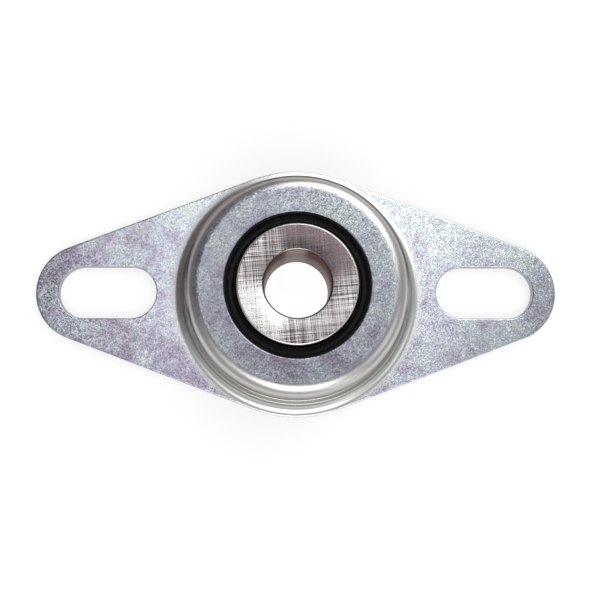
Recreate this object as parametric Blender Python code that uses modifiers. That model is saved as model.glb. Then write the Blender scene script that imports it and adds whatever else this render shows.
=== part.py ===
"""A two-bolt flange mount bearing, modelled piece by piece in metres.

The origin is on the shaft's axis, in the plane of the flange's mounting face.
+Z runs along the shaft, out of the boss, and +X runs along the line of the two bolts.
Sizes below are in millimetres, and MM turns them into Blender's metres.
"""

import math

import bmesh
import bpy

MM = 0.001

# Flange: a sheet steel plate, round in the middle, with a round end about each slot.
SHEET = 2.0
FLANGE_RADIUS = 25.0
END_RADIUS = 9.8
SLOT_SPACING = 76.2
SLOT_LENGTH = 19.6
SLOT_WIDTH = 10.4

# Boss: drawn from the same sheet, with a step part of the way up its wall.
BOSS_HEIGHT = 16.5
BOSS_RADIUS = 21.35
BOSS_SHOULDER = 3.0
STEP_HEIGHT = 6.5
STEP_RADIUS = 22.6
STEP_ROUND = 0.4
ROOT_FILLET = 2.1
BOSS_HOLE_RADIUS = 13.75
HOLE_EDGE_ROUND = 0.25
STAKES = 6
STAKE_RADIUS = 0.8

# Bearing: rings, balls and cage about the plane z = BEARING_HEIGHT.
SHAFT_DIAMETER = 12.7
OUTER_DIAMETER = 38.1
OUTER_WIDTH = 10.32
INNER_LENGTH = 16.92
INNER_DIAMETER = 22.9
BALL_DIAMETER = 6.35
PITCH_RADIUS = 12.9
BALLS = 8
GROOVE_RADIUS = 3.35
OUTER_BORE_RADIUS = 14.3
SEAL_SEAT_RADIUS = 15.1

# Cage: two ribbons bent over the balls and riveted between them.
CAGE_INNER = 12.05
CAGE_OUTER = 13.75
CAGE_SHEET = 0.5
CAGE_GAP = 0.1
POCKET_RADIUS = 3.4
RIVET_RADIUS = 0.4
RIVET_HEAD = 0.8
RIVET_HOLE = 0.55

# Retaining cup behind the outer ring.
CUP_SHEET = 1.2
CUP_RADIUS = 20.3
CUP_SKIRT = 0.95
CUP_BEND = 0.9
CUP_HOLE_RADIUS = 15.6

FIT_GAP = 0.3
HOUSING_STEPS = 48
RING_STEPS = 48
CAGE_STEPS = 12 * BALLS

BEARING_HEIGHT = BOSS_HEIGHT - SHEET - FIT_GAP - OUTER_WIDTH / 2
SLOT_CENTRE = SLOT_SPACING / 2
SLOT_END = SLOT_CENTRE + (SLOT_LENGTH - SLOT_WIDTH) / 2


def clear_scene():
    for obj in list(bpy.data.objects):
        bpy.data.objects.remove(obj, do_unlink=True)


def new_collection(name, hidden=False):
    collection = bpy.data.collections.new(name)
    bpy.context.scene.collection.children.link(collection)
    collection.hide_render = hidden
    return collection


def metal(name, colour, roughness, metallic=1.0):
    material = bpy.data.materials.new(name)
    material.use_nodes = True
    shader = material.node_tree.nodes["Principled BSDF"]
    shader.inputs["Base Color"].default_value = (*colour, 1.0)
    shader.inputs["Roughness"].default_value = roughness
    shader.inputs["Metallic"].default_value = metallic
    return material


def arc(centre_r, centre_z, radius, start, end, steps):
    """Points of an arc in the (r, z) plane, from one angle in degrees to another."""
    points = []
    for i in range(steps + 1):
        angle = math.radians(start + (end - start) * i / steps)
        points.append((centre_r + radius * math.cos(angle), centre_z + radius * math.sin(angle)))
    return points


def object_of(name, mesh, collection, material=None):
    obj = bpy.data.objects.new(name, mesh)
    collection.objects.link(obj)
    if material:
        mesh.materials.clear()
        mesh.materials.append(material)
    return obj


def turned(name, profile, steps, collection, material=None, closed=True):
    """Turns a profile of (r, z) points about Z. The points run down its outer side."""
    mesh = bpy.data.meshes.new(name)
    count = len(profile)
    edges = [(i, i + 1) for i in range(count - 1)]
    if closed:
        edges.append((count - 1, 0))
    mesh.from_pydata([(r * MM, 0, z * MM) for r, z in profile], edges, [])
    obj = object_of(name, mesh, collection, material)
    screw = obj.modifiers.new("Turn", "SCREW")
    screw.axis = "Z"
    screw.steps = screw.render_steps = steps
    screw.use_merge_vertices = True
    screw.merge_threshold = 0.00001
    screw.use_smooth_shade = True
    return obj


def as_mesh(obj):
    """Replaces a curve or a modified object by the mesh it evaluates to."""
    evaluated = obj.evaluated_get(bpy.context.evaluated_depsgraph_get())
    mesh = bpy.data.meshes.new_from_object(evaluated)
    work = bmesh.new()
    work.from_mesh(mesh)
    bmesh.ops.remove_doubles(work, verts=work.verts, dist=0.000001)
    bmesh.ops.recalc_face_normals(work, faces=work.faces)
    work.to_mesh(mesh)
    work.free()
    name, matrix, homes = obj.name, obj.matrix_world.copy(), list(obj.users_collection)
    bpy.data.objects.remove(obj, do_unlink=True)
    made = bpy.data.objects.new(name, mesh)
    made.matrix_world = matrix
    for home in homes:
        home.objects.link(made)
    mesh.name = name
    return made


def boolean(obj, other, operation):
    modifier = obj.modifiers.new(f"{operation.title()} {other.name}", "BOOLEAN")
    modifier.operation = operation
    modifier.object = other
    modifier.solver = "EXACT"


def as_cutter(obj):
    obj.display_type = "WIRE"
    obj.hide_render = True
    return obj


def smooth(obj, degrees=35):
    obj.data.shade_smooth()
    obj.data.set_sharp_from_angle(angle=math.radians(degrees))


def add_spline(curve, points):
    spline = curve.splines.new("POLY")
    spline.points.add(len(points) - 1)
    for point, (x, y) in zip(spline.points, points):
        point.co = (x * MM, y * MM, 0, 1)
    spline.use_cyclic_u = True


def flange_outline():
    """The middle circle, the two end circles and the straight edges that touch both."""
    spread = math.degrees(math.acos((FLANGE_RADIUS - END_RADIUS) / SLOT_END))
    points = arc(SLOT_END, 0, END_RADIUS, -spread, spread, 16)
    points += arc(0, 0, FLANGE_RADIUS, spread, 180 - spread, 16)
    points += arc(-SLOT_END, 0, END_RADIUS, 180 - spread, 180 + spread, 16)
    points += arc(0, 0, FLANGE_RADIUS, 180 + spread, 360 - spread, 16)
    return points


def slot_outline(side):
    radius = SLOT_WIDTH / 2
    reach = (SLOT_LENGTH - SLOT_WIDTH) / 2
    middle = side * SLOT_CENTRE
    points = arc(middle + reach, 0, radius, -90, 90, 10)
    points += arc(middle - reach, 0, radius, 90, 270, 10)
    return points


def make_plate(collection):
    """The flat flange with its two slots."""
    curve = bpy.data.curves.new("flange_housing", "CURVE")
    curve.dimensions = "2D"
    curve.fill_mode = "BOTH"
    curve.extrude = SHEET / 2 * MM
    add_spline(curve, flange_outline())
    add_spline(curve, slot_outline(1))
    add_spline(curve, slot_outline(-1))
    plate = bpy.data.objects.new("flange_housing", curve)
    plate.location.z = SHEET / 2 * MM
    collection.objects.link(plate)
    bpy.context.view_layer.update()
    return as_mesh(plate)


def boss_outside(cutters):
    """The solid shape of the boss's outer surface, standing in the plate."""
    fillet_centre = STEP_RADIUS + ROOT_FILLET
    inner_corner = BOSS_RADIUS + STEP_ROUND
    profile = [(0, BOSS_HEIGHT)]
    shoulder = BOSS_RADIUS - BOSS_SHOULDER
    profile += arc(shoulder, BOSS_HEIGHT - BOSS_SHOULDER, BOSS_SHOULDER, 90, 0, 6)
    profile += arc(inner_corner, STEP_HEIGHT + STEP_ROUND, STEP_ROUND, 180, 270, 2)
    profile += arc(STEP_RADIUS - STEP_ROUND, STEP_HEIGHT - STEP_ROUND, STEP_ROUND, 90, 0, 2)
    profile += arc(fillet_centre, SHEET + ROOT_FILLET, ROOT_FILLET, 180, 270, 4)
    profile += [(fillet_centre, SHEET / 2), (0, SHEET / 2)]
    return as_cutter(turned("boss_outside", profile, HOUSING_STEPS, cutters, closed=False))


def boss_inside(cutters):
    """The hollow of the boss: the outer surface set in by the sheet, open at the back."""
    ceiling = BOSS_HEIGHT - SHEET
    fillet_centre = STEP_RADIUS + ROOT_FILLET
    inner_corner = BOSS_RADIUS + STEP_ROUND
    roll = ROOT_FILLET + SHEET
    bend = STEP_ROUND + SHEET
    seat = STEP_RADIUS - SHEET
    bend_end = 180 + math.degrees(math.acos((inner_corner - seat) / bend))
    shoulder = BOSS_RADIUS - BOSS_SHOULDER
    profile = [(0, BOSS_HEIGHT + SHEET), (BOSS_HOLE_RADIUS, BOSS_HEIGHT + SHEET)]
    profile += [(BOSS_HOLE_RADIUS, ceiling)]
    profile += arc(shoulder, BOSS_HEIGHT - BOSS_SHOULDER, BOSS_SHOULDER - SHEET, 90, 0, 3)
    profile += arc(inner_corner, STEP_HEIGHT + STEP_ROUND, bend, 180, bend_end, 3)
    profile += arc(fillet_centre, SHEET + ROOT_FILLET, roll, 180, 270, 6)
    profile += [(fillet_centre, -SHEET), (0, -SHEET)]
    return as_cutter(turned("boss_inside", profile, HOUSING_STEPS, cutters, closed=False))


def hole_edge(cutters):
    """A ring that rounds the outer edge of the boss's front hole."""
    edge = HOLE_EDGE_ROUND
    top = BOSS_HEIGHT + SHEET
    profile = [(BOSS_HOLE_RADIUS + edge + top - BOSS_HEIGHT, top)]
    profile += [(BOSS_HOLE_RADIUS - edge, BOSS_HEIGHT - 2 * edge), (BOSS_HOLE_RADIUS - edge, top)]
    return as_cutter(turned("hole_edge", profile, HOUSING_STEPS, cutters))


def stake(index, cutters):
    """A lug of the housing's metal, punched inwards behind the retaining cup."""
    angle = 2 * math.pi * (index + 0.5) / STAKES
    seat = cup_back() - FIT_GAP - STAKE_RADIUS
    reach = CUP_RADIUS + STAKE_RADIUS / 2
    mesh = bpy.data.meshes.new(f"stake_{index + 1}")
    work = bmesh.new()
    bmesh.ops.create_icosphere(work, subdivisions=2, radius=STAKE_RADIUS * MM)
    bmesh.ops.scale(work, vec=(1.6, 1.0, 1.0), verts=work.verts)
    work.to_mesh(mesh)
    work.free()
    obj = object_of(mesh.name, mesh, cutters)
    obj.location = (reach * math.cos(angle) * MM, reach * math.sin(angle) * MM, seat * MM)
    obj.rotation_euler.z = angle
    return as_cutter(obj)


def make_flange_housing(parts, cutters, material):
    housing = make_plate(parts)
    housing.data.materials.clear()
    housing.data.materials.append(material)
    boolean(housing, boss_outside(cutters), "UNION")
    boolean(housing, boss_inside(cutters), "DIFFERENCE")
    boolean(housing, hole_edge(cutters), "DIFFERENCE")
    for index in range(STAKES):
        boolean(housing, stake(index, cutters), "UNION")
    smooth(housing)


def lifted(points):
    """Points given from the middle plane of the bearing, raised to their height."""
    return [(r, z + BEARING_HEIGHT) for r, z in points]


def mirrored(points):
    """The other end of a piece: the same points below the middle plane, in reverse."""
    return [(r, -z) for r, z in reversed(points)]


def make_outer_ring(parts, material):
    half = OUTER_WIDTH / 2
    radius = OUTER_DIAMETER / 2
    chamfer = 0.6
    reach = math.degrees(math.acos((OUTER_BORE_RADIUS - PITCH_RADIUS) / GROOVE_RADIUS))
    seat_floor = half - 1.2
    upper = [
        (OUTER_BORE_RADIUS, seat_floor),
        (SEAL_SEAT_RADIUS, seat_floor),
        (SEAL_SEAT_RADIUS, half),
        (radius - chamfer, half),
        (radius, half - chamfer),
    ]
    groove = arc(PITCH_RADIUS, 0, GROOVE_RADIUS, -reach, reach, 6)
    profile = upper + mirrored(upper) + groove
    turned("outer_ring", lifted(profile), RING_STEPS, parts, material)


def make_inner_ring(parts, material):
    half = INNER_LENGTH / 2
    land = INNER_DIAMETER / 2
    bore = SHAFT_DIAMETER / 2
    corner = 0.4
    chamfer = 0.4
    reach = math.degrees(math.acos((PITCH_RADIUS - land) / GROOVE_RADIUS))
    upper = [(bore, half - chamfer), (bore + chamfer, half)]
    upper += arc(land - corner, half - corner, corner, 90, 0, 2)
    groove = arc(PITCH_RADIUS, 0, GROOVE_RADIUS, 180 - reach, 180 + reach, 6)
    profile = upper + groove + mirrored(upper)
    turned("inner_ring", lifted(profile), RING_STEPS, parts, material)


def make_seal(end, parts, rubber, steel):
    """One moulded seal and its steel insert. end is 1 at the front and -1 at the back."""
    half = OUTER_WIDTH / 2
    side = "front" if end > 0 else "rear"
    lip = INNER_DIAMETER / 2 + 0.15
    outside = SEAL_SEAT_RADIUS - 0.15
    seal = [
        (outside - 0.2, half - 0.2),
        (outside, half - 0.4),
        (outside, half - 0.75),
        (lip + 0.55, half - 0.75),
        (lip + 0.4, half - 1.1),
        (lip, half - 1.1),
        (lip, half - 0.35),
        (lip + 0.3, half - 0.2),
    ]
    insert = [
        (outside - 0.2, half - 0.85),
        (outside - 0.2, half - 1.1),
        (lip + 0.7, half - 1.1),
        (lip + 0.7, half - 0.85),
    ]
    if end < 0:
        seal, insert = mirrored(seal), mirrored(insert)
    turned(f"{side}_seal", lifted(seal), RING_STEPS, parts, rubber)
    turned(f"{side}_seal_insert", lifted(insert), RING_STEPS, parts, steel)


def ribbon_height(angle, ball_radius, floor):
    """How high the ribbon stands over the middle plane: over a ball it follows the ball."""
    pitch = 2 * math.pi / BALLS
    along = (angle + pitch / 2) % pitch - pitch / 2
    distance = abs(along) * PITCH_RADIUS
    over_ball = math.sqrt(max(ball_radius**2 - distance**2, 0))
    return max(over_ball, floor)


def make_cage_half(end, parts, cutters, material):
    """One pressed ribbon, turned as a flat ring and raised over each ball."""
    side = "front" if end > 0 else "rear"
    upper, lower = CAGE_GAP + CAGE_SHEET, CAGE_GAP
    flat = [(CAGE_OUTER, upper), (CAGE_OUTER, lower), (CAGE_INNER, lower), (CAGE_INNER, upper)]
    half = as_mesh(turned(f"cage_{side}", flat, CAGE_STEPS, parts, material))
    divide = (upper + lower) / 2 * MM
    for vertex in half.data.vertices:
        angle = math.atan2(vertex.co.y, vertex.co.x)
        if vertex.co.z > divide:
            height = ribbon_height(angle, POCKET_RADIUS + CAGE_SHEET, upper)
        else:
            height = ribbon_height(angle, POCKET_RADIUS, lower)
        vertex.co.z = (BEARING_HEIGHT + end * height) * MM
    if end < 0:
        half.data.flip_normals()
    for index in range(BALLS):
        boolean(half, rivet_hole(index, end, cutters), "DIFFERENCE")
    smooth(half)


def rivet_place(index):
    angle = 2 * math.pi * (index + 0.5) / BALLS
    radius = (CAGE_INNER + CAGE_OUTER) / 2
    return (radius * math.cos(angle) * MM, radius * math.sin(angle) * MM, BEARING_HEIGHT * MM)


def rivet_hole(index, end, cutters):
    side = "front" if end > 0 else "rear"
    mesh = bpy.data.meshes.new(f"rivet_hole_{side}_{index + 1}")
    work = bmesh.new()
    bmesh.ops.create_cone(
        work,
        cap_ends=True,
        segments=8,
        radius1=RIVET_HOLE * MM,
        radius2=RIVET_HOLE * MM,
        depth=4 * CAGE_SHEET * MM,
    )
    work.to_mesh(mesh)
    work.free()
    obj = object_of(mesh.name, mesh, cutters)
    obj.location = rivet_place(index)
    return as_cutter(obj)


def make_rivets(parts, material):
    """Round-headed rivets, each through both tabs of the cage between two balls."""
    under_head = CAGE_GAP + CAGE_SHEET + CAGE_GAP
    head = 0.4
    top = [(0, under_head + head), (RIVET_HEAD * 0.7, under_head + head * 0.8)]
    top += [(RIVET_HEAD, under_head), (RIVET_RADIUS, under_head)]
    profile = top + [(r, -z) for r, z in reversed(top)]
    pattern = as_mesh(turned("cage_rivet_1", profile, 8, parts, material, closed=False))
    pattern.location = rivet_place(0)
    smooth(pattern)
    for index in range(1, BALLS):
        copy = bpy.data.objects.new(f"cage_rivet_{index + 1}", pattern.data)
        copy.location = rivet_place(index)
        parts.objects.link(copy)


def make_balls(parts, material):
    mesh = bpy.data.meshes.new("ball")
    work = bmesh.new()
    bmesh.ops.create_uvsphere(work, u_segments=12, v_segments=8, radius=BALL_DIAMETER / 2 * MM)
    work.to_mesh(mesh)
    work.free()
    mesh.materials.append(material)
    mesh.shade_smooth()
    for index in range(BALLS):
        angle = 2 * math.pi * index / BALLS
        ball = bpy.data.objects.new(f"ball_{index + 1}", mesh)
        x, y = PITCH_RADIUS * math.cos(angle), PITCH_RADIUS * math.sin(angle)
        ball.location = (x * MM, y * MM, BEARING_HEIGHT * MM)
        parts.objects.link(ball)


def cup_back():
    """Height of the retaining cup's rear face."""
    return BEARING_HEIGHT - OUTER_WIDTH / 2 - FIT_GAP - CUP_SHEET


def make_rear_retainer(parts, material):
    """A shallow pressed cup: its web bears on the outer ring, its skirt fits the boss's step."""
    back = cup_back()
    web_top = back + CUP_SHEET
    skirt_top = STEP_HEIGHT - SHEET + 0.1
    profile = [(CUP_RADIUS - CUP_SKIRT, skirt_top), (CUP_RADIUS, skirt_top)]
    profile += arc(CUP_RADIUS - CUP_BEND, back + CUP_BEND, CUP_BEND, 0, -90, 4)
    profile += [(CUP_HOLE_RADIUS, back), (CUP_HOLE_RADIUS, web_top)]
    profile += [(CUP_RADIUS - CUP_SKIRT, web_top)]
    turned("rear_retainer", profile, RING_STEPS, parts, material)


def main():
    clear_scene()
    parts = new_collection("flange_mount_bearing")
    cutters = new_collection("cutters", hidden=True)
    zinc = metal("zinc_plate", (0.66, 0.67, 0.71), 0.35)
    ground = metal("ground_steel", (0.55, 0.53, 0.53), 0.25)
    bearing = metal("bearing_steel", (0.6, 0.6, 0.61), 0.2)
    cold_rolled = metal("cold_rolled_steel", (0.52, 0.52, 0.53), 0.4)
    rubber = metal("black_rubber", (0.02, 0.02, 0.02), 0.3, metallic=0.0)

    make_flange_housing(parts, cutters, zinc)
    make_rear_retainer(parts, zinc)
    make_outer_ring(parts, bearing)
    make_inner_ring(parts, ground)
    make_seal(1, parts, rubber, cold_rolled)
    make_seal(-1, parts, rubber, cold_rolled)
    make_cage_half(1, parts, cutters, cold_rolled)
    make_cage_half(-1, parts, cutters, cold_rolled)
    make_rivets(parts, cold_rolled)
    make_balls(parts, bearing)


main()
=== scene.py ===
"""The finished look of a two-bolt flange mount bearing, in the order it is put together."""

import math

import bmesh
import bpy
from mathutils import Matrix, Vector


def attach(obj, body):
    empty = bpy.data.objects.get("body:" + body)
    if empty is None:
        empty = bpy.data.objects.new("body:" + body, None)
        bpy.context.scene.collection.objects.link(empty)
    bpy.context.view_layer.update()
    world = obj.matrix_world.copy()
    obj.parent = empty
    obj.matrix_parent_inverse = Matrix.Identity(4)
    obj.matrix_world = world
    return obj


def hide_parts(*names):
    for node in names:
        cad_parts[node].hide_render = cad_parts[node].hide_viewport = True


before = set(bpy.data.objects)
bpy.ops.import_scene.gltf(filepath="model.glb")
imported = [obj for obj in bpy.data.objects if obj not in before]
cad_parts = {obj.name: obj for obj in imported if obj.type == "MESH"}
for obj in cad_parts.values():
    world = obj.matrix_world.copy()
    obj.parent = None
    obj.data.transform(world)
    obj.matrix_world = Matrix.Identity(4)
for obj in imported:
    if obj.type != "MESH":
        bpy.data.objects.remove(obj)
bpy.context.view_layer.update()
bpy.ops.object.select_all(action="DESELECT")


# ---------------------------------------------------------------- Pressed flange and boss
# One piece of 2 mm cold-rolled sheet: blanked, drawn into a stepped boss, pierced with the
# front hole and the two slots, then zinc plated. Its upper edges are rolled over by the punch.
MM = 0.001
sheet = 2.0
flange_radius = 25.0
end_radius = 9.8
slot_spacing = 76.2
slot_length = 19.6
slot_width = 10.4
boss_height = 16.5
boss_radius = 21.35
step_radius = 22.6
step_height = 6.5
front_hole = 13.75
upper_edge_round = 0.34
lower_edge_round = 0.12


def begin(add, **sizes):
    """Adds a primitive with nothing else selected, and opens it for modelling."""
    bpy.ops.object.select_all(action="DESELECT")
    add(**sizes)
    piece = bpy.context.object
    bpy.ops.object.transform_apply(location=True, rotation=True, scale=True)
    bpy.ops.object.mode_set(mode="EDIT")
    return piece


def close(piece, name, smooth_angle=35):
    """Leaves edit mode, names the piece and shades it smooth up to an angle."""
    bpy.ops.object.mode_set(mode="OBJECT")
    piece.name = piece.data.name = name
    bpy.ops.object.shade_smooth_by_angle(angle=math.radians(smooth_angle))
    return piece


def arc(r, z, radius, start, end, steps):
    """Points of an arc in the section, from one angle in degrees to another."""
    turns = [math.radians(start + (end - start) * i / steps) for i in range(steps + 1)]
    return [(r + radius * math.cos(a), z + radius * math.sin(a)) for a in turns]


def turn(name, section, steps=144, whole=True):
    """Draws a section point by point, and spins it once round the shaft's axis."""
    start = (section[0][0] * MM, 0, section[0][1] * MM)
    piece = begin(bpy.ops.mesh.primitive_plane_add, size=MM, location=start)
    bpy.ops.mesh.select_mode(type="VERT")
    bpy.ops.mesh.select_all(action="SELECT")
    bpy.ops.mesh.merge(type="CENTER")
    for (r0, z0), (r1, z1) in zip(section, section[1:]):
        move = ((r1 - r0) * MM, 0, (z1 - z0) * MM)
        bpy.ops.mesh.extrude_vertices_move(TRANSFORM_OT_translate={"value": move})
    if whole:
        mesh = bmesh.from_edit_mesh(piece.data)
        for vertex in mesh.verts:
            vertex.select = len(vertex.link_edges) == 1
        mesh.select_flush(False)
        bpy.ops.mesh.edge_face_add()
    bpy.ops.mesh.select_all(action="SELECT")
    bpy.ops.mesh.spin(steps=steps, angle=2 * math.pi, center=(0, 0, 0), axis=(0, 0, 1))
    bpy.ops.mesh.select_all(action="SELECT")
    seam_gap = 0.002 * MM
    bpy.ops.mesh.remove_doubles(threshold=seam_gap)
    bpy.ops.mesh.normals_make_consistent(inside=False)
    return close(piece, name)


def cut_or_join(piece, other, operation):
    """Applies a Boolean with another shape, and removes that shape."""
    modifier = piece.modifiers.new(operation.title(), "BOOLEAN")
    modifier.operation = operation
    modifier.object = other
    bpy.ops.object.select_all(action="DESELECT")
    bpy.context.view_layer.objects.active = piece
    piece.select_set(True)
    bpy.ops.object.modifier_apply(modifier=modifier.name)
    bpy.data.objects.remove(other, do_unlink=True)


def choose(piece, wanted):
    """Selects the edges, in edit mode, for which wanted(edge) is true."""
    bpy.ops.mesh.select_mode(type="EDGE")
    bpy.ops.mesh.select_all(action="DESELECT")
    mesh = bmesh.from_edit_mesh(piece.data)
    for edge in mesh.edges:
        edge.select = wanted(edge)
    bmesh.update_edit_mesh(piece.data)


def rim_at(height):
    """Tells whether an edge lies at a height in mm, and is a corner and not flat."""
    near = 0.01 * MM
    corner_angle = 1.0

    def wanted(edge):
        level = all(abs(v.co.z - height * MM) < near for v in edge.verts)
        return level and len(edge.link_faces) == 2 and edge.calc_face_angle() > corner_angle
    return wanted


def belt(name, circles, thickness):
    """The flat shape that a belt round some circles gives. A circle is (x, radius, points)."""
    piece = None
    for x, radius, points in circles:
        sizes = {"vertices": points, "radius": radius * MM, "depth": thickness * MM}
        sizes["location"] = (x * MM, 0, sheet / 2 * MM)
        if piece:
            bpy.ops.mesh.primitive_cylinder_add(**sizes)
        else:
            piece = begin(bpy.ops.mesh.primitive_cylinder_add, **sizes)
    bpy.ops.mesh.select_all(action="SELECT")
    bpy.ops.mesh.convex_hull()
    bpy.ops.mesh.select_all(action="SELECT")
    bpy.ops.mesh.dissolve_limited(angle_limit=math.radians(0.5))
    return close(piece, name)


# The blank: a belt round the middle and the two ends, with a slot pierced in each end.
slot_end = (slot_spacing + slot_length - slot_width) / 2
middle = (0, flange_radius, 144)
left_end = (-slot_end, end_radius, 96)
right_end = (slot_end, end_radius, 96)
flange = belt("pressed_flange", [middle, left_end, right_end], sheet)
for side in (-1, 1):
    far = (side * slot_end, slot_width / 2, 64)
    near = (side * (slot_end - slot_length + slot_width), slot_width / 2, 64)
    cut_or_join(flange, belt("slot", [far, near], 3 * sheet), "DIFFERENCE")

bpy.ops.object.mode_set(mode="EDIT")
choose(flange, rim_at(sheet))
bpy.ops.mesh.bevel(offset=upper_edge_round * MM, segments=5, profile=0.5, affect="EDGES")
choose(flange, rim_at(0))
bpy.ops.mesh.bevel(offset=lower_edge_round * MM, segments=2, profile=0.5, affect="EDGES")
bpy.ops.object.mode_set(mode="OBJECT")

# The drawn boss: the outside is joined to the blank, and then the inside is cut away.
shoulder = 3.0
root = 2.0
ledge = 0.35
lean_at_top = 0.05
lean_at_foot = 0.1
outside = [(0, boss_height)]
outside += arc(boss_radius - shoulder - lean_at_top, boss_height - shoulder, shoulder, 90, 0, 14)
outside += arc(boss_radius + lean_at_foot + ledge, step_height + ledge, ledge, 180, 262, 4)
outside += arc(step_radius - ledge, step_height - ledge, ledge, 85, 0, 5)
outside += arc(step_radius + root, sheet + root, root, 180, 270, 12)
outside += [(step_radius + root, sheet / 2), (0, sheet / 2)]
cut_or_join(flange, turn("boss_outside", outside, steps=256, whole=False), "UNION")

roll = root + sheet
bend = ledge + sheet
seat = step_radius - sheet
bend_end = 180 + math.degrees(math.acos((boss_radius + ledge - seat) / bend))
hole_roll = 0.32
inside = [(0, boss_height + sheet), (front_hole + hole_roll, boss_height + sheet)]
inside += arc(front_hole + hole_roll, boss_height - hole_roll, hole_roll, 90, 180, 6)
inside += [(front_hole, boss_height - sheet)]
inside += arc(boss_radius - shoulder, boss_height - shoulder, shoulder - sheet, 90, 0, 6)
inside += arc(boss_radius + ledge, step_height + ledge, bend, 180, bend_end, 6)
inside += arc(step_radius + root, sheet + root, roll, 180, 270, 16)
inside += [(step_radius + root, -sheet), (0, -sheet)]
cut_or_join(flange, turn("boss_inside", inside, steps=256, whole=False), "DIFFERENCE")

# Six lugs punched in behind the retaining cup, each with the punch's dent beside it.
cup_radius = 20.56
stake_count = 6
stake_height = 1.28
lug_reach = cup_radius + 0.14
lug_size = (1.25, 0.78, 0.78)
dent_reach = cup_radius + 1.24
dent_height = stake_height - 1.0
dent_size = (0.9, 0.5, 0.7)
for index in range(stake_count):
    angle = 2 * math.pi * (index + 0.5) / stake_count
    for name, reach, height, size, operation in (
        ("lug", lug_reach, stake_height, lug_size, "UNION"),
        ("dent", dent_reach, dent_height, dent_size, "DIFFERENCE"),
    ):
        shape = begin(
            bpy.ops.mesh.primitive_uv_sphere_add,
            segments=24, ring_count=14, radius=MM, scale=size, rotation=(0, 0, angle),
            location=(reach * math.cos(angle) * MM, reach * math.sin(angle) * MM, height * MM),
        )
        cut_or_join(flange, close(shape, name), operation)

# The cuts leave slivers under a micron long, which are merged away.
sliver = 0.001 * MM
bpy.ops.object.mode_set(mode="EDIT")
bpy.ops.mesh.select_all(action="SELECT")
bpy.ops.mesh.remove_doubles(threshold=sliver)
bpy.ops.mesh.dissolve_degenerate(threshold=sliver)
bpy.ops.object.mode_set(mode="OBJECT")
bpy.ops.object.shade_smooth_by_angle(angle=math.radians(32))
weighted = flange.modifiers.new("Weighted", "WEIGHTED_NORMAL")
weighted.keep_sharp = True
bpy.ops.object.modifier_apply(modifier=weighted.name)


def add_node(material, kind, inputs, **settings):
    """Adds a node. An input that is another node's socket is linked, and any other is set."""
    tree = material.node_tree
    made = tree.nodes.new("ShaderNode" + kind)
    for name, value in settings.items():
        setattr(made, name, value)
    for socket, value in inputs.items():
        if isinstance(value, bpy.types.NodeSocket):
            tree.links.new(value, made.inputs[socket])
        else:
            made.inputs[socket].default_value = value
    return made


def start_finish(name, metallic=1.0):
    """A new material with its shader, and the place on the piece in millimetres."""
    material = bpy.data.materials.new(name)
    material.use_nodes = True
    shader = material.node_tree.nodes["Principled BSDF"]
    shader.inputs["Metallic"].default_value = metallic
    place = add_node(material, "TexCoord", {}).outputs["Object"]
    in_mm = add_node(material, "Mapping", {"Vector": place, "Scale": (1000, 1000, 1000)})
    return material, shader, in_mm.outputs["Vector"]


def ramp(material, factor, stops):
    """A colour ramp with its stops as (place, colour)."""
    made = add_node(material, "ValToRGB", {"Fac": factor})
    elements = made.color_ramp.elements
    while len(elements) < len(stops):
        elements.new(0.5)
    for element, (place, colour) in zip(elements, stops):
        element.position = place
        element.color = (*colour, 1)
    return made.outputs["Color"]


def math_node(material, operation, first, second=0.0, third=0.0):
    """One step of arithmetic."""
    made = add_node(material, "Math", {0: first, 1: second, 2: third}, operation=operation)
    return made.outputs[0]


def spread(material, value, low, high, new_low, new_high, smooth=True):
    """Maps a value's range to another, held at both ends."""
    kind = "SMOOTHSTEP" if smooth else "LINEAR"
    inputs = {"Value": value, "From Min": low, "From Max": high}
    inputs.update({"To Min": new_low, "To Max": new_high})
    return add_node(material, "MapRange", inputs, interpolation_type=kind).outputs["Result"]


def blend_colours(material, factor, first, second, how="MIX"):
    """Mixes two colours, each a socket or a plain colour, by a factor."""
    made = add_node(material, "Mix", {}, data_type="RGBA", blend_type=how)
    factor_socket, first_socket, second_socket = made.inputs[0], made.inputs[6], made.inputs[7]
    for socket, value in ((factor_socket, factor), (first_socket, first), (second_socket, second)):
        if isinstance(value, bpy.types.NodeSocket):
            material.node_tree.links.new(value, socket)
        else:
            socket.default_value = value
    return made.outputs[2]


def noise(material, place, scale, detail=3.0, roughness=0.55):
    """A soft random pattern from 0 to 1. The scale is in spots a millimetre."""
    inputs = {"Vector": place, "Scale": scale, "Detail": detail, "Roughness": roughness}
    return add_node(material, "TexNoise", inputs).outputs["Fac"]


def bumps(material, height, strength, depth):
    """Surface relief from a pattern, to a depth in mm."""
    inputs = {"Strength": strength, "Distance": depth * MM, "Height": height}
    return add_node(material, "Bump", inputs).outputs["Normal"]


def wire_up(material, shader, colour, rough, normal=None):
    """Links a finish's colour, roughness and relief to its shader."""
    material.node_tree.links.new(colour, shader.inputs["Base Color"])
    material.node_tree.links.new(rough, shader.inputs["Roughness"])
    if normal is not None:
        material.node_tree.links.new(normal, shader.inputs["Normal"])


def off_axis(material, sides):
    """How far a place is from the shaft's axis, in mm."""
    flat_place = add_node(material, "CombineXYZ", {"X": sides["X"], "Y": sides["Y"]}).outputs[0]
    length = add_node(material, "VectorMath", {0: flat_place}, operation="LENGTH")
    return length.outputs["Value"]


def towards(material, heading, degrees):
    """1 on the side of the axis that faces a heading in degrees, and -1 on the opposite side."""
    turned = math_node(material, "SUBTRACT", heading, math.radians(degrees))
    return math_node(material, "COSINE", turned)


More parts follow.
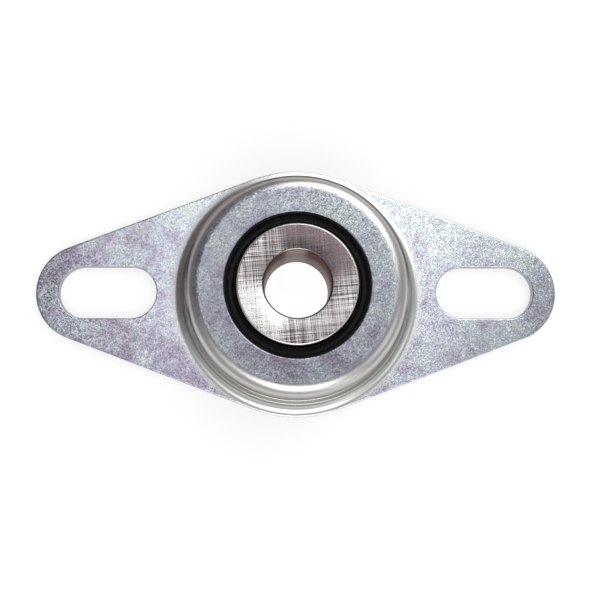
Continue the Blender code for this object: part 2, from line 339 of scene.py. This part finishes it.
# Bright zinc: a fine sparkling grain on the flats with painted glints among the crystals, rubbed
# smooth where the die drew the wall, with a faint purple and green bloom in patches.
zinc, zinc_shader, zinc_mm = start_finish("bright_zinc")
zinc_shader.inputs["Specular Tint"].default_value = (0.60, 0.57, 0.56, 1)
sides = add_node(zinc, "SeparateXYZ", {"Vector": zinc_mm}).outputs
from_axis = off_axis(zinc, sides)
heading = math_node(zinc, "ARCTAN2", sides["Y"], sides["X"])
# At the left the crystals run further out over the shoulder, with a ragged border.
on_left = towards(zinc, heading, 150)
on_left = math_node(zinc, "MULTIPLY_ADD", noise(zinc, zinc_mm, 0.5, 5, 0.7), 0.5, on_left)
on_left = spread(zinc, on_left, 0.75, 1.2, 0, 1)
uneven = math_node(zinc, "MULTIPLY", noise(zinc, zinc_mm, 0.9, 5, 0.75), 1.6)
edge_of_flat = math_node(zinc, "ADD", from_axis, uneven)
runs_on = -1.2
grain_runs_on = math_node(zinc, "MULTIPLY_ADD", on_left, runs_on, edge_of_flat)
flat_ends = (18.7, 20.0)
flange_starts = (25.0, 26.8)
past_flat = spread(zinc, grain_runs_on, *flat_ends, 0, 1)
before_flange = spread(zinc, edge_of_flat, *flange_starts, 1, 0)
drawn = math_node(zinc, "MULTIPLY", past_flat, before_flange)
plain = math_node(zinc, "SUBTRACT", 1.0, drawn)

grain_cells = add_node(zinc, "TexVoronoi", {"Vector": zinc_mm, "Scale": 4.0})
fine = noise(zinc, zinc_mm, 3.4, 5, 0.75)
cell_value = add_node(zinc, "SeparateColor", {"Color": grain_cells.outputs["Color"]}).outputs[0]
grain = math_node(zinc, "ADD", math_node(zinc, "MULTIPLY", cell_value, 0.5), fine)
grain_light = spread(zinc, grain, 0.42, 1.05, 0.6, 1.34, smooth=False)
# Painted glints: small spots scattered over the flats are brightened to stand for crystals
# catching the light.
painted_glint_cells = add_node(zinc, "TexVoronoi", {"Vector": zinc_mm, "Scale": 1.7})
painted_glint = spread(zinc, painted_glint_cells.outputs["Distance"], 0.08, 0.2, 0.75, 0)
rings_place = add_node(zinc, "CombineXYZ", {"X": from_axis, "Z": sides["Z"]}).outputs[0]
draw_lines = noise(zinc, rings_place, 2.6, 4, 0.65)
draw_lines = spread(zinc, draw_lines, 0.3, 0.7, 0.93, 1.06, smooth=False)
plain_tone = math_node(zinc, "MULTIPLY", math_node(zinc, "ADD", grain_light, painted_glint), plain)
tone = math_node(zinc, "ADD", plain_tone, math_node(zinc, "MULTIPLY", drawn, draw_lines))
# Painted shade: the tint is darker and more purple towards the bottom, a little to the left, and
# lighter and greener towards the top; the noise added to it is the plating's own bloom.
lean_line = math_node(zinc, "MULTIPLY_ADD", sides["X"], 0.3, sides["Y"])
painted_shade_lean = spread(zinc, lean_line, -22, 22, -0.09, 0.09, smooth=False)
bloom_and_painted_shade = math_node(zinc, "ADD", noise(zinc, zinc_mm, 0.2, 6, 0.68), painted_shade_lean)
zinc_tint = ramp(zinc, bloom_and_painted_shade, [
    (0.36, (0.44, 0.395, 0.505)), (0.47, (0.57, 0.575, 0.665)),
    (0.55, (0.61, 0.65, 0.715)), (0.68, (0.67, 0.73, 0.725)),
])
# Painted shade and highlights: the wall's colour is set by height, light at the foot, on the step
# and under the shoulder where highlights fall, and dark on the wall between.
up_the_wall = spread(zinc, sides["Z"], sheet, boss_height, 0, 1, smooth=False)
wall_tint_and_shade = ramp(zinc, up_the_wall, [
    (0.0, (0.80, 0.82, 0.80)), (0.05, (0.60, 0.61, 0.59)), (0.14, (0.46, 0.465, 0.45)),
    (0.3, (0.50, 0.50, 0.475)), (0.42, (0.38, 0.38, 0.36)), (0.84, (0.36, 0.36, 0.34)),
    (0.94, (0.62, 0.62, 0.61)),
])
# Painted shade on the wall: brown at the left, from the flange to the shoulder, and nearly black
# at the back, between the step and the shoulder, where the wall reflects the dim room.
painted_shade_brown = (0.16, 0.118, 0.138, 1)
painted_shade_black = (0.06, 0.055, 0.055, 1)
painted_shade_level = ramp(zinc, up_the_wall, [
    (0.0, (0.5, 0.5, 0.5)), (0.2, (0.85, 0.85, 0.85)), (0.45, (0.75, 0.75, 0.75)),
    (0.92, (0.72, 0.72, 0.72)), (0.99, (0.25, 0.25, 0.25)),
])
painted_shade_left = math_node(zinc, "MULTIPLY", on_left, painted_shade_level)
above_step = spread(zinc, sides["Z"], 6.7, 7.4, 0, 1)
below_shoulder = spread(zinc, sides["Z"], 15.2, 15.9, 1, 0)
on_back = spread(zinc, towards(zinc, heading, 62), 0.3, 0.75, 0, 0.75)
between = math_node(zinc, "MULTIPLY", above_step, below_shoulder)
painted_shade_back = math_node(zinc, "MULTIPLY", on_back, between)
wall_tint_and_shade = blend_colours(zinc, painted_shade_left, wall_tint_and_shade, painted_shade_brown)
wall_tint_and_shade = blend_colours(zinc, painted_shade_back, wall_tint_and_shade, painted_shade_black)
zinc_colour = blend_colours(zinc, drawn, zinc_tint, wall_tint_and_shade)
# Painted light: the plating is darkened on the boss's face and at the far ends and lightened
# beside the boss, to paint how the light falls across the flats.
to_far_end = spread(zinc, from_axis, 0, 52, 0, 1, smooth=False)
painted_light_by_reach = ramp(zinc, to_far_end, [
    (0.34, (0.645, 0.645, 0.655)), (0.47, (1.18, 1.20, 1.20)), (0.56, (1.14, 1.16, 1.16)),
    (0.68, (0.95, 0.95, 0.95)), (0.84, (0.88, 0.88, 0.89)), (0.96, (0.68, 0.68, 0.69)),
])
zinc_colour = blend_colours(zinc, plain, zinc_colour, painted_light_by_reach, "MULTIPLY")
tone_colour = add_node(zinc, "CombineColor", {0: tone, 1: tone, 2: tone}).outputs[0]
zinc_colour = blend_colours(zinc, 1.0, zinc_colour, tone_colour, "MULTIPLY")
zinc_rough = spread(zinc, fine, 0.3, 0.7, 0.26, 0.33, smooth=False)
waves = noise(zinc, zinc_mm, 0.45, 2, 0.5)
relief = math_node(
    zinc, "ADD", math_node(zinc, "MULTIPLY", math_node(zinc, "MULTIPLY", fine, plain), 0.5),
    math_node(zinc, "MULTIPLY", waves, 0.5),
)
zinc_bump = bumps(zinc, relief, 0.55, 0.04)
# Each crystal of zinc leans its own way, which gives the flats their sparkle.
crystal = {0: grain_cells.outputs["Color"], 1: (0.5, 0.5, 0.5)}
tilt = add_node(zinc, "VectorMath", crystal, operation="SUBTRACT").outputs[0]
tilt_size = math_node(zinc, "MULTIPLY", plain, 0.11)
tilt = add_node(zinc, "VectorMath", {0: tilt, "Scale": tilt_size}, operation="SCALE").outputs[0]
facet = add_node(zinc, "VectorMath", {0: zinc_bump, 1: tilt}, operation="ADD").outputs[0]
facet = add_node(zinc, "VectorMath", {0: facet}, operation="NORMALIZE").outputs[0]
wire_up(zinc, zinc_shader, zinc_colour, zinc_rough, facet)

# The pierced and blanked edges: drawn down by the punch, so they are streaked and duller.
edge_zinc, edge_shader, edge_mm = start_finish("punched_edge_zinc")
streak_place = add_node(edge_zinc, "Mapping", {"Vector": edge_mm, "Scale": (5.0, 5.0, 0.5)})
streaks = noise(edge_zinc, streak_place.outputs[0], 1.2, 4, 0.7)
edge_colour = ramp(edge_zinc, streaks, [(0.3, (0.28, 0.27, 0.29)), (0.7, (0.52, 0.52, 0.55))])
edge_rough = spread(edge_zinc, streaks, 0.3, 0.7, 0.32, 0.5, smooth=False)
wire_up(edge_zinc, edge_shader, edge_colour, edge_rough, bumps(edge_zinc, streaks, 0.6, 0.05))

flange.data.materials.clear()
flange.data.materials.append(zinc)
flange.data.materials.append(edge_zinc)
steep = 0.25
near_hole, near_rim = 0.1, 0.05
for face in flange.data.polygons:
    away = Vector((face.center.x, face.center.y)).length
    upright = abs(face.normal.z) < steep
    pierced = away < (front_hole + near_hole) * MM
    blanked = away > (flange_radius - near_rim) * MM
    if upright and (pierced or blanked):
        face.material_index = 1
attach(flange, "housing")
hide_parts("flange_housing")


# ---------------------------------------------------------------- Outer ring
# Bearing steel ring with a ball groove inside and a seat for a seal at each end. It is pressed
# into the boss from behind, up against the back of the boss's face.
pitch_radius = 12.9
bearing_height = 9.04
outer_width = 10.32
outer_radius = 19.05
outer_shoulder = 14.3
seal_seat = 15.1
groove = 3.3


def raised(section):
    """Lifts a section that was drawn about the balls' middle plane to its height."""
    return [(r, z + bearing_height) for r, z in section]


def below(section):
    """The same points at the other end, in the order that carries on from them."""
    return [(r, -z) for r, z in reversed(section)]


half = outer_width / 2
edge_break = 0.1
seat_floor = half - 1.2
outer_corner = 0.6
reach = math.degrees(math.acos((outer_shoulder - pitch_radius) / groove))
upper = [(outer_shoulder, half - 1.15), (outer_shoulder + edge_break, seat_floor)]
upper += [(seal_seat, seat_floor), (seal_seat, half - edge_break), (seal_seat + edge_break, half)]
upper += arc(outer_radius - outer_corner, half - outer_corner, outer_corner, 90, 0, 6)
section = upper + below(upper) + arc(pitch_radius, 0, groove, -reach, reach, 20)
outer_ring = turn("outer_race_ring", raised(section))

bearing_steel, steel_shader, steel_mm = start_finish("turned_bearing_steel")
ring_lines = add_node(
    bearing_steel, "TexWave",
    {"Vector": steel_mm, "Scale": 2.2, "Distortion": 1.2, "Detail": 3, "Detail Scale": 2},
    wave_type="RINGS", rings_direction="Z",
)
steel_patch = noise(bearing_steel, steel_mm, 0.5, 4, 0.6)
steel_mix = math_node(
    bearing_steel, "ADD", math_node(bearing_steel, "MULTIPLY", ring_lines.outputs["Fac"], 0.3),
    math_node(bearing_steel, "MULTIPLY", steel_patch, 0.7),
)
steel_colour = ramp(bearing_steel, steel_mix, [
    (0.25, (0.46, 0.45, 0.45)), (0.75, (0.66, 0.66, 0.67)),
])
steel_rough = spread(bearing_steel, steel_mix, 0.2, 0.8, 0.3, 0.2, smooth=False)
steel_bump = bumps(bearing_steel, ring_lines.outputs["Fac"], 0.35, 0.01)
wire_up(bearing_steel, steel_shader, steel_colour, steel_rough, steel_bump)


def finish(piece, material, body, node):
    """Gives a piece its material, sets it on its body and hides the plain node behind it."""
    piece.data.materials.clear()
    piece.data.materials.append(material)
    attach(piece, body)
    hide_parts(node)


finish(outer_ring, bearing_steel, "housing", "outer_ring")


# ---------------------------------------------------------------- Retaining cup
# A shallow cup pressed from 1.2 mm strip and zinc plated. Its web bears on the outer ring's
# back, its skirt is pressed into the step of the boss, and the six lugs hold it.
cup_sheet = 1.2
cup_gap = 0.3
cup_back = bearing_height - half - cup_gap - cup_sheet
cup_web = cup_back + cup_sheet
cup_bend = 0.9
skirt_top = step_height - sheet + 0.1
skirt_inside = cup_radius - 0.95
skirt_round = 0.15
cup_hole = 15.6
hole_round = 0.25
rib_level = cup_back + 0.12
section = [(skirt_inside, skirt_top), (cup_radius - skirt_round, skirt_top)]
section += [(cup_radius, skirt_top - skirt_round)]
section += arc(cup_radius - cup_bend, cup_back + cup_bend, cup_bend, 0, -90, 8)
section += [(17.6, cup_back), (17.3, rib_level), (16.6, rib_level), (16.3, cup_back)]
section += arc(cup_hole + hole_round, cup_back + hole_round, hole_round, -90, -180, 4)
section += [(cup_hole, cup_web), (cup_radius - 1.35, cup_web), (skirt_inside, cup_web + 0.35)]
cup = turn("retaining_cup", section)
finish(cup, zinc, "housing", "rear_retainer")


# ---------------------------------------------------------------- Seals
# Black nitrile rubber, moulded on a stamped steel washer. The rim is pushed into the outer
# ring's seat, and the lip runs on the inner ring.
inner_radius = 11.45
seal_rim = seal_seat - 0.15
rim_round = 0.25
lip = inner_radius + 0.02
lip_back = half - 1.1
rubber_back = half - 0.75
face_of_seal = half - 0.22
dip = face_of_seal - 0.16
rubber_section = arc(seal_rim - rim_round, face_of_seal - rim_round, rim_round, 90, 0, 4)
rubber_section += [(seal_rim, rubber_back), (lip + 0.55, rubber_back), (lip + 0.4, lip_back)]
rubber_section += [(lip, lip_back), (lip, half - 0.5), (lip + 0.12, face_of_seal - 0.06)]
rubber_section += arc(lip + 0.45, face_of_seal - 0.2, 0.28, 140, 30, 6)
rubber_section += [(lip + 0.9, dip), (lip + 1.5, dip)]
rubber_section += arc(lip + 1.9, face_of_seal - 0.12, 0.16, 160, 40, 5)
washer_out, washer_in = seal_rim - 0.2, lip + 0.7
washer_front = half - 0.85
insert_section = [(washer_out, washer_front), (washer_out, lip_back)]
insert_section += [(washer_in, lip_back), (washer_in, washer_front)]

rubber, rubber_shader, rubber_mm = start_finish("black_nitrile", metallic=0.0)
rubber_shader.inputs["Specular IOR Level"].default_value = 0.22
rubber_cloud = noise(rubber, rubber_mm, 1.1, 5, 0.65)
# Grey specks on the rubber: partly dust, partly painted glints.
speck_cells = add_node(rubber, "TexVoronoi", {"Vector": rubber_mm, "Scale": 1.7})
dust_and_glints = spread(rubber, speck_cells.outputs["Distance"], 0.09, 0.2, 1, 0)
speck_choice = add_node(rubber, "SeparateColor", {"Color": speck_cells.outputs["Color"]}).outputs[0]
dust_and_glints = math_node(rubber, "MULTIPLY", dust_and_glints, spread(rubber, speck_choice, 0.7, 0.76, 0, 1))
dust_and_glints = math_node(rubber, "MULTIPLY", dust_and_glints, 0.55)
dust_and_glint_grey = (0.22, 0.2, 0.19, 1)
rubber_colour = ramp(rubber, rubber_cloud, [
    (0.3, (0.001, 0.001, 0.001)), (0.75, (0.004, 0.003, 0.003)),
])
rubber_colour = blend_colours(rubber, dust_and_glints, rubber_colour, dust_and_glint_grey)
rubber_rough = spread(rubber, rubber_cloud, 0.3, 0.7, 0.26, 0.46, smooth=False)
rubber_bump = bumps(rubber, rubber_cloud, 0.3, 0.03)
wire_up(rubber, rubber_shader, rubber_colour, rubber_rough, rubber_bump)

strip, strip_shader, strip_mm = start_finish("pressed_strip")
strip_grain = noise(strip, strip_mm, 2.5, 4, 0.6)
strip_colour = ramp(strip, strip_grain, [(0.3, (0.42, 0.41, 0.40)), (0.7, (0.60, 0.59, 0.58))])
strip_rough = spread(strip, strip_grain, 0.3, 0.7, 0.28, 0.42, smooth=False)
wire_up(strip, strip_shader, strip_colour, strip_rough, bumps(strip, strip_grain, 0.3, 0.01))


def copy_of(model, name, move=(0, 0, 0), upside_down=False):
    """Copies a piece with a mesh of its own, turns it over if asked, and moves it in mm."""
    piece = model.copy()
    piece.data = model.data.copy()
    piece.name = piece.data.name = name
    bpy.context.scene.collection.objects.link(piece)
    bpy.ops.object.select_all(action="DESELECT")
    bpy.context.view_layer.objects.active = piece
    piece.select_set(True)
    bpy.ops.object.mode_set(mode="EDIT")
    bpy.ops.mesh.select_all(action="SELECT")
    if upside_down:
        bpy.ops.transform.resize(value=(1, 1, -1), center_override=(0, 0, 0))
        bpy.ops.mesh.normals_make_consistent(inside=False)
    bpy.ops.transform.translate(value=[side * MM for side in move])
    bpy.ops.object.mode_set(mode="OBJECT")
    return piece


middle_plane = (0, 0, bearing_height)
seal_model = turn("seal_model", rubber_section)
washer_model = turn("washer_model", insert_section)
for end, turned_over in (("front", False), ("rear", True)):
    seal = copy_of(seal_model, f"{end}_rubber_seal", middle_plane, turned_over)
    finish(seal, rubber, "housing", f"{end}_seal")
    washer = copy_of(washer_model, f"{end}_seal_washer", middle_plane, turned_over)
    finish(washer, strip, "housing", f"{end}_seal_insert")
bpy.data.objects.remove(seal_model, do_unlink=True)
bpy.data.objects.remove(washer_model, do_unlink=True)


# ---------------------------------------------------------------- Inner ring
# The wide ring that the shaft goes through: turned from bar, hardened, and ground on both
# faces, which leaves fine lines that cross at right angles.
inner_half = 8.46
bore = 6.35
corner = 0.4
bore_chamfer = 0.2
eased, run_out = 0.04, 0.1
reach = math.degrees(math.acos((pitch_radius - inner_radius) / groove))
upper = [(bore, inner_half - bore_chamfer - run_out), (bore + eased, inner_half - bore_chamfer)]
upper += [(bore + bore_chamfer, inner_half - eased), (bore + bore_chamfer + run_out, inner_half)]
upper += arc(inner_radius - corner, inner_half - corner, corner, 90, 0, 8)
section = upper + arc(pitch_radius, 0, groove, 180 - reach, 180 + reach, 20) + below(upper)
inner_ring = turn("ground_inner_ring", raised(section))

ground, ground_shader, ground_mm = start_finish("cross_ground_steel")
wheel_turn = (0, 0, math.radians(-5))
wheel_place = add_node(ground, "Mapping", {"Vector": ground_mm, "Rotation": wheel_turn})
wheel_place = wheel_place.outputs[0]
across = add_node(ground, "Mapping", {"Vector": wheel_place, "Scale": (6.0, 0.06, 0.5)})
along = add_node(ground, "Mapping", {"Vector": wheel_place, "Scale": (0.06, 6.0, 0.5)})
upright_lines = noise(ground, across.outputs[0], 1.0, 5, 0.72)
level_lines = noise(ground, along.outputs[0], 1.0, 5, 0.72)
lines = math_node(ground, "ADD", upright_lines, level_lines)
# Painted light and shade on the face: it is lighter towards the lower left, and a little towards
# the lower right, and darker and browner towards the upper right, where the ground lines fade.
ground_sides = add_node(ground, "SeparateXYZ", {"Vector": ground_mm}).outputs
heading = math_node(ground, "ARCTAN2", ground_sides["Y"], ground_sides["X"])
ring_painted_light_side = towards(ground, heading, 216)
ring_painted_shade_side = spread(ground, towards(ground, heading, 60), 0.42, 0.82, 0, 1)
ring_painted_light = spread(ground, ring_painted_light_side, 0.62, 0.97, 0, 0.52)
patches = spread(ground, noise(ground, ground_mm, 0.22, 2, 0.5), 0.35, 0.65, 0.45, 1.0)
lines_through_painted_shade = spread(ground, ring_painted_shade_side, 0, 1, 1.0, 0.14, smooth=False)
contrast = math_node(ground, "MULTIPLY", lines_through_painted_shade, patches)
contrast = math_node(ground, "MULTIPLY", contrast, spread(ground, ring_painted_light_side, 0.7, 0.98, 1, 0.4))
line_light = spread(ground, lines, 0.8, 1.2, -1, 1, smooth=False)
ground_light = math_node(ground, "MULTIPLY", line_light, contrast)
ring_painted_light_right = spread(ground, towards(ground, heading, 330), 0.6, 1.0, 0, 0.12)
ring_painted_light = math_node(ground, "ADD", ring_painted_light, ring_painted_light_right)
ring_lines_and_painted_light = math_node(ground, "ADD", math_node(ground, "ADD", ring_painted_light, 0.37), ground_light)
ring_lines_and_painted_light = math_node(ground, "SUBTRACT", ring_lines_and_painted_light, math_node(ground, "MULTIPLY", ring_painted_shade_side, 0.14))
ground_colour = ramp(ground, ring_lines_and_painted_light, [
    (0.0, (0.09, 0.075, 0.07)), (0.22, (0.22, 0.168, 0.182)),
    (0.55, (0.54, 0.52, 0.51)), (1.0, (0.98, 0.98, 0.97)),
])
ground_rough = spread(ground, lines, 0.8, 1.2, 0.22, 0.34, smooth=False)
wire_up(ground, ground_shader, ground_colour, ground_rough, bumps(ground, lines, 0.5, 0.03))
finish(inner_ring, ground, "shaft_ring", "inner_ring")

# The bore and the outside are ground round, so they are smoother and carry lines round them.
honed, honed_shader, honed_mm = start_finish("honed_steel")
honed_shader.inputs["Specular Tint"].default_value = (0.30, 0.25, 0.24, 1)
honed_place = add_node(honed, "Mapping", {"Vector": honed_mm, "Scale": (0.25, 0.25, 3.0)})
honed_lines = noise(honed, honed_place.outputs[0], 1.4, 4, 0.6)
honed_sides = add_node(honed, "SeparateXYZ", {"Vector": honed_mm}).outputs
honed_heading = math_node(honed, "ARCTAN2", honed_sides["Y"], honed_sides["X"])
# Painted light: a lighter streak runs down the bore on one side, at a heading of 93 degrees.
painted_light_streak = spread(honed, towards(honed, honed_heading, 93), 0.9, 1.0, 0, 0.5)
honed_mix = math_node(honed, "ADD", math_node(honed, "MULTIPLY", honed_lines, 0.5), painted_light_streak)
honed_colour = ramp(honed, honed_mix, [
    (0.12, (0.16, 0.125, 0.12)), (0.4, (0.27, 0.225, 0.22)), (0.85, (0.56, 0.53, 0.52)),
])
# Painted highlight: a bright band is painted round the outer corner, next to the face.
painted_highlight_colour = (0.85, 0.83, 0.82, 1)
near_face = spread(honed, honed_sides["Z"], 17.08, 17.16, 0, 0.9)
near_outside = spread(honed, off_axis(honed, honed_sides), 9.0, 9.5, 0, 1)
painted_corner_highlight = math_node(honed, "MULTIPLY", near_face, near_outside)
honed_colour = blend_colours(honed, painted_corner_highlight, honed_colour, painted_highlight_colour)
honed_rough = spread(honed, honed_lines, 0.3, 0.7, 0.22, 0.32, smooth=False)
wire_up(honed, honed_shader, honed_colour, honed_rough, bumps(honed, honed_lines, 0.3, 0.02))
inner_ring.data.materials.append(honed)
level = 0.97
for face in inner_ring.data.polygons:
    if abs(face.normal.z) < level:
        face.material_index = 1


# ---------------------------------------------------------------- Balls
# Quarter-inch balls of hardened bearing steel, ground and then lapped until they shine like a
# mirror. One runs in each pocket of the cage, between the two rings' grooves.
ball_count = 8
ball_radius = 3.175
cuts_a_side = 11
lapped, lapped_shader, lapped_mm = start_finish("lapped_steel")
haze = noise(lapped, lapped_mm, 3.0, 4, 0.6)
lapped_colour = ramp(lapped, haze, [(0.3, (0.70, 0.70, 0.71)), (0.7, (0.80, 0.80, 0.81))])
lapped_rough = spread(lapped, haze, 0.3, 0.7, 0.05, 0.1, smooth=False)
wire_up(lapped, lapped_shader, lapped_colour, lapped_rough)
ball_model = begin(bpy.ops.mesh.primitive_cube_add, size=2 * ball_radius * MM)
bpy.ops.mesh.select_all(action="SELECT")
bpy.ops.mesh.subdivide(number_cuts=cuts_a_side)
bpy.ops.mesh.select_all(action="SELECT")
bpy.ops.transform.tosphere(value=1.0)
rounded_to = bmesh.from_edit_mesh(ball_model.data).verts[:][0].co.length
to_size = ball_radius * MM / rounded_to
bpy.ops.transform.resize(value=(to_size, to_size, to_size), center_override=(0, 0, 0))
close(ball_model, "ball_model", 60)
for index in range(ball_count):
    angle = 2 * math.pi * index / ball_count
    place = (pitch_radius * math.cos(angle), pitch_radius * math.sin(angle), bearing_height)
    ball = copy_of(ball_model, f"steel_ball_{index + 1}", place)
    finish(ball, lapped, f"ball_{index + 1}", f"ball_{index + 1}")
bpy.data.objects.remove(ball_model, do_unlink=True)


# ---------------------------------------------------------------- Cage
# Two ribbons of steel strip, each pressed into eight half pockets and pierced between them.
# Put together, they close round the balls and keep them apart.
cage_in = 12.05
cage_out = 13.75
cage_sheet = 0.5
cage_gap = 0.1
pocket = 3.4
steps_a_pocket = 24
ribbon_round = 0.08
rivet_hole = 0.5


def over_ball(step, radius, floor):
    """The ribbon's height a number of steps from a ball: it follows the ball, then lies flat."""
    away = 2 * math.pi * pitch_radius * step / (ball_count * steps_a_pocket)
    return max(math.sqrt(max(radius**2 - away**2, 0)), floor)


# One ribbon starts flat, and each line of points across it is lifted over the balls.
low, high = cage_gap, cage_gap + cage_sheet
flat_ring = [(cage_out, high), (cage_out, low), (cage_in, low), (cage_in, high)]
ribbon_model = turn("ribbon_model", flat_ring, steps=ball_count * steps_a_pocket)
bpy.ops.object.mode_set(mode="EDIT")
bpy.ops.mesh.select_mode(type="VERT")
ribbon_mesh = bmesh.from_edit_mesh(ribbon_model.data)
rows = {}
for vertex in ribbon_mesh.verts:
    turned = math.atan2(vertex.co.y, vertex.co.x) / (2 * math.pi) * ball_count
    step = round(abs(turned - round(turned)) * steps_a_pocket)
    top = vertex.co.z > (low + high) / 2 * MM
    rows.setdefault((step, top), []).append(vertex)
for (step, top), row in rows.items():
    if top:
        lift = over_ball(step, pocket + cage_sheet, high) - high
    else:
        lift = over_ball(step, pocket, low) - low
    for vertex in ribbon_mesh.verts:
        vertex.select = False
    for vertex in row:
        vertex.select = True
    bpy.ops.transform.translate(value=(0, 0, lift * MM))
close(ribbon_model, "ribbon_model")
rounded = ribbon_model.modifiers.new("Rounded", "BEVEL")
rounded.width = ribbon_round * MM
rounded.segments = 2
rounded.angle_limit = math.radians(50)
bpy.ops.object.modifier_apply(modifier=rounded.name)
cage_middle = (cage_in + cage_out) / 2
rivet_places = []
for index in range(ball_count):
    angle = 2 * math.pi * (index + 0.5) / ball_count
    rivet_places.append((cage_middle * math.cos(angle), cage_middle * math.sin(angle)))
for x, y in rivet_places:
    drill = begin(
        bpy.ops.mesh.primitive_cylinder_add,
        vertices=24, radius=rivet_hole * MM, depth=3 * MM, location=(x * MM, y * MM, 0),
    )
    cut_or_join(ribbon_model, close(drill, "drill"), "DIFFERENCE")
bpy.ops.object.shade_smooth_by_angle(angle=math.radians(35))
for end, turned_over in (("front", False), ("rear", True)):
    ribbon = copy_of(ribbon_model, f"cage_ribbon_{end}", middle_plane, turned_over)
    finish(ribbon, strip, "cage", f"cage_{end}")
bpy.data.objects.remove(ribbon_model, do_unlink=True)


# ---------------------------------------------------------------- Cage rivets
# Eight short rivets of soft steel wire, one through the flats between each two pockets. Both
# ends are headed over in a press, which holds the two ribbons together for good.
under_head = 2 * cage_gap + cage_sheet
head_height = 0.42
head_radius = 0.74
shank_radius = 0.4
rivet_top = [(0, under_head + head_height)] + arc(0, under_head - 0.35, 0.85, 78, 27, 5)
rivet_top += [(head_radius, under_head), (shank_radius, under_head)]
rivet_model = turn("rivet_model", rivet_top + below(rivet_top), steps=24, whole=False)
for index, (x, y) in enumerate(rivet_places):
    rivet = copy_of(rivet_model, f"rivet_{index + 1}", (x, y, bearing_height))
    finish(rivet, strip, "cage", f"cage_rivet_{index + 1}")
bpy.data.objects.remove(rivet_model, do_unlink=True)


# ---------------------------------------------------------------- Table, light and camera
# The bearing lies mounting face down on a plain white light table, in a dim room, and is seen
# from almost straight above. Two large softboxes light it from behind and in front, and six
# small ones fill in round them.
table_size = 20.0
table_gap = 0.05
table = begin(
    bpy.ops.mesh.primitive_plane_add, size=table_size, location=(0, 0, -table_gap * MM)
)
close(table, "white_table")
opal, opal_shader, opal_mm = start_finish("opal_acrylic", metallic=0.0)
opal_tone = noise(opal, opal_mm, 0.05, 3, 0.5)
opal_colour = ramp(opal, opal_tone, [(0.3, (0.43, 0.43, 0.43)), (0.7, (0.45, 0.45, 0.45))])
opal.node_tree.links.new(opal_colour, opal_shader.inputs["Base Color"])
opal_shader.inputs["Roughness"].default_value = 0.9
opal_shader.inputs["Specular IOR Level"].default_value = 0.1
opal_shader.inputs["Emission Color"].default_value = (1, 1, 1, 1)
opal_sides = add_node(opal, "SeparateXYZ", {"Vector": opal_mm}).outputs
# The lamp under the table is in its middle, so the glow is strongest there.
glow = spread(opal, off_axis(opal, opal_sides), 8, 24, 0.93, 0.66)
opal.node_tree.links.new(glow, opal_shader.inputs["Emission Strength"])
table.data.materials.append(opal)

world = bpy.data.worlds.new("dim_room")
world.use_nodes = True
bpy.context.scene.world = world
room = world.node_tree.nodes["Background"]
room_direction = add_node(world, "TexCoord", {}).outputs["Generated"]
height = add_node(world, "SeparateXYZ", {"Vector": room_direction}).outputs["Z"]
room_tone = ramp(world, height, [
    (0.0, (0.46, 0.45, 0.44)), (0.45, (0.40, 0.39, 0.385)), (0.9, (0.22, 0.22, 0.22)),
])
# The room is darkest behind the left end of the table.
dark_corner = {0: room_direction, 1: (-0.77, 0.64, 0)}
to_dark = add_node(world, "VectorMath", dark_corner, operation="DOT_PRODUCT").outputs["Value"]
room_share = spread(world, to_dark, 0.15, 0.75, 1, 0.55)
world.node_tree.links.new(room_tone, room.inputs["Color"])
world.node_tree.links.new(room_share, room.inputs["Strength"])


def softbox(name, from_top, heading, width, brightness):
    """A far softbox, by its angle from straight up, its heading and its width in degrees."""
    light = bpy.data.lights.new(name, "SUN")
    light.angle = math.radians(width)
    light.energy = brightness * math.pi * math.sin(math.radians(width / 2)) ** 2
    lamp = bpy.data.objects.new(name, light)
    lamp.rotation_euler = (0, math.radians(from_top), math.radians(heading))
    bpy.context.scene.collection.objects.link(lamp)


softbox("back_softbox", 41, 64, 50, 2.1)
softbox("front_softbox", 43, 270, 40, 2.4)
softbox("right_softbox", 48, 335, 30, 0.7)
softbox("left_softbox", 42, 225, 24, 0.7)
softbox("low_front_softbox", 72, 298, 26, 0.8)
softbox("high_fill", 9, 52, 9, 1.5)
softbox("high_left_fill", 12.5, 148, 11, 3.2)
softbox("high_right_fill", 9, 8, 9, 1.2)

distance = 0.185
target = Vector((-0.0003, -0.0005, 0.002))
camera_data = bpy.data.cameras.new("camera")
camera_data.lens = 55.9
camera_data.sensor_width = 36
camera_data.clip_start = 0.01
camera = bpy.data.objects.new("camera", camera_data)
camera.rotation_euler = (math.radians(6.0), math.radians(-0.8), 0)
camera.location = target + camera.rotation_euler.to_matrix() @ Vector((0, 0, distance))
bpy.context.scene.collection.objects.link(camera)
bpy.context.scene.camera = camera
bpy.context.scene.view_settings.view_transform = "Standard"
